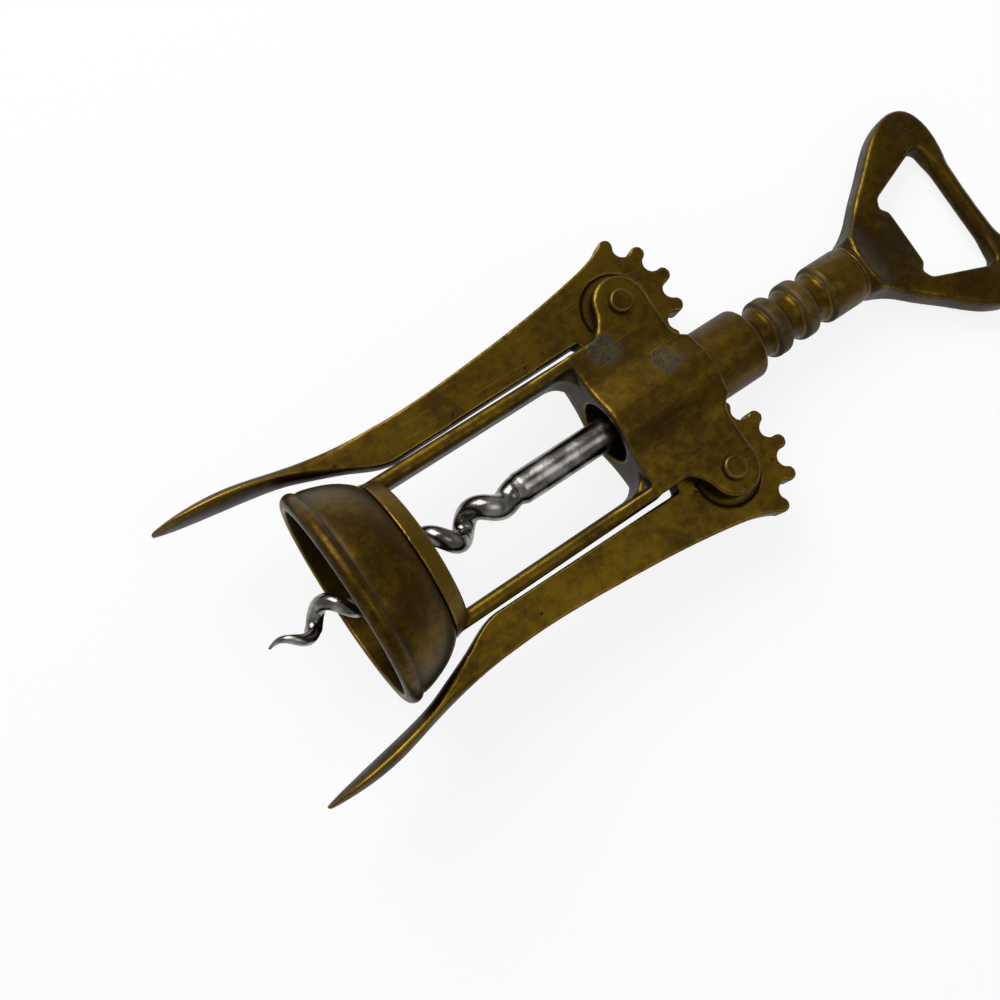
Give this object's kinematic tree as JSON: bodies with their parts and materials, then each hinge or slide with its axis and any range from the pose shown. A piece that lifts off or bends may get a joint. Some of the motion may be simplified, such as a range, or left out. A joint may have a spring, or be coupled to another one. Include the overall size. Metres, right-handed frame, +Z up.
{
  "type": "wing corkscrew",
  "caption": "Brass wing corkscrew with a bottle bell, an open frame, geared wing levers, a ringed rack on a steel worm and a cap-lifter handle.",
  "frame": {"origin": "centre of the bell's open mouth, on the spindle's axis", "axes": "+X along the spindle to the handle, +Y to the left wing seen from above, +Z up, normal to the plane the wings swing in"},
  "size_m": [0.1556, 0.0554, 0.038],
  "materials": {
    "bell_brass": "aged, scratched",
    "frame_brass": "aged casting, worn bright on the edges",
    "collar_brass": "aged, turned",
    "rivet_brass": "worn bright on the rim",
    "wing_brass": "aged casting, worn bright on the edges",
    "rack_brass": "aged, turned",
    "handle_brass": "aged casting, worn bright on the edges",
    "washer_brass": "dull",
    "worm_steel": "polished",
    "ring_steel": "dull"
  },
  "bodies": {
    "body": {"bell": "bell_brass", "frame": "frame_brass", "guide_collar": "collar_brass", "left_rivet": "rivet_brass", "right_rivet": "rivet_brass"},
    "rack": {"rack_sleeve": "rack_brass"},
    "spindle": {"worm": "worm_steel", "handle": "handle_brass", "neck_washer": "washer_brass", "snap_ring": "ring_steel"},
    "left_lever": {"left_wing": "wing_brass"},
    "right_lever": {"right_wing": "wing_brass"}
  },
  "joints": [
    {"name": "rack_slide", "type": "slide", "parent": "body", "child": "rack", "axis": [-1, 0, 0], "range_m": [0, 0.025]},
    {"name": "spindle_turn", "type": "hinge", "parent": "rack", "child": "spindle", "pos_m": [0.08, 0, 0], "axis": [1, 0, 0], "continuous": true},
    {"name": "left_wing_hinge", "type": "hinge", "parent": "body", "child": "left_lever", "pos_m": [0.06485, 0.0166, 0], "axis": [0, 0, -1], "range_deg": [0, 121]},
    {"name": "right_wing_hinge", "type": "hinge", "parent": "body", "child": "right_lever", "pos_m": [0.06485, -0.0166, 0], "axis": [0, 0, 1], "range_deg": [0, 121]}
  ],
  "couplings": [
    {"joint": "left_wing_hinge", "follows": "rack_slide", "rad_per_m": 84.451},
    {"joint": "right_wing_hinge", "follows": "rack_slide", "rad_per_m": 84.451}
  ]
}
